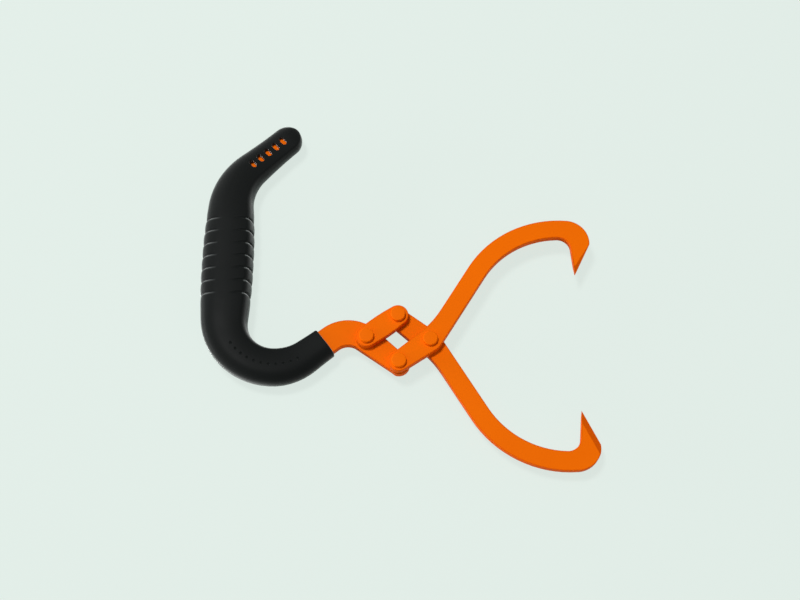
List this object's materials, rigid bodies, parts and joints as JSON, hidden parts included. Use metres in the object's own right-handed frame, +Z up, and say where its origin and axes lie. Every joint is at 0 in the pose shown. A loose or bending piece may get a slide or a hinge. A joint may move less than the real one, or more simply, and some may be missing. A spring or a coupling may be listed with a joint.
{
  "type": "log tongs",
  "caption": "Hand log tongs: hooked flat steel arms on a riveted parallelogram linkage, closed by pulling a bent handle bar that carries a moulded C-shaped grip.",
  "frame": {"origin": "middle of the flat underside of the grip's hold, on the plane the tongs lie on", "axes": "+X along the centre line towards the hooks, +Y along the hold towards the grip's round end, +Z up through the plates, along every rivet"},
  "size_m": [0.2987, 0.2834, 0.0244],
  "materials": {
    "painted_steel": "orange satin gloss paint over pressed steel plate",
    "grip_plastic": "black moulded plastic, satin"
  },
  "bodies": {
    "handle": {"handle_bar": "painted_steel", "grip": "grip_plastic", "link_rivet": "painted_steel", "crank_rivet": "painted_steel"},
    "link": {"link": "painted_steel", "top_rivet": "painted_steel"},
    "upper_arm": {"upper_hook_arm": "painted_steel", "centre_rivet": "painted_steel"},
    "lower_arm": {"lower_hook_arm": "painted_steel"}
  },
  "joints": [
    {"name": "upper_arm_swing", "type": "hinge", "parent": "handle", "child": "upper_arm", "pos_m": [0.13211, -0.08294, 0.015], "axis": [0, 0, 1], "range_deg": [-40, 56]},
    {"name": "link_swing", "type": "hinge", "parent": "handle", "child": "link", "pos_m": [0.10795, -0.06351, 0.015], "axis": [0, 0, 1], "range_deg": [-40, 56]},
    {"name": "lower_arm_swing", "type": "hinge", "parent": "upper_arm", "child": "lower_arm", "pos_m": [0.1556, -0.06593, 0.015], "axis": [0, 0, 1], "range_deg": [-56, 40]}
  ],
  "couplings": [
    {"joint": "link_swing", "follows": "upper_arm_swing", "ratio": 1},
    {"joint": "lower_arm_swing", "follows": "upper_arm_swing", "ratio": -1}
  ]
}
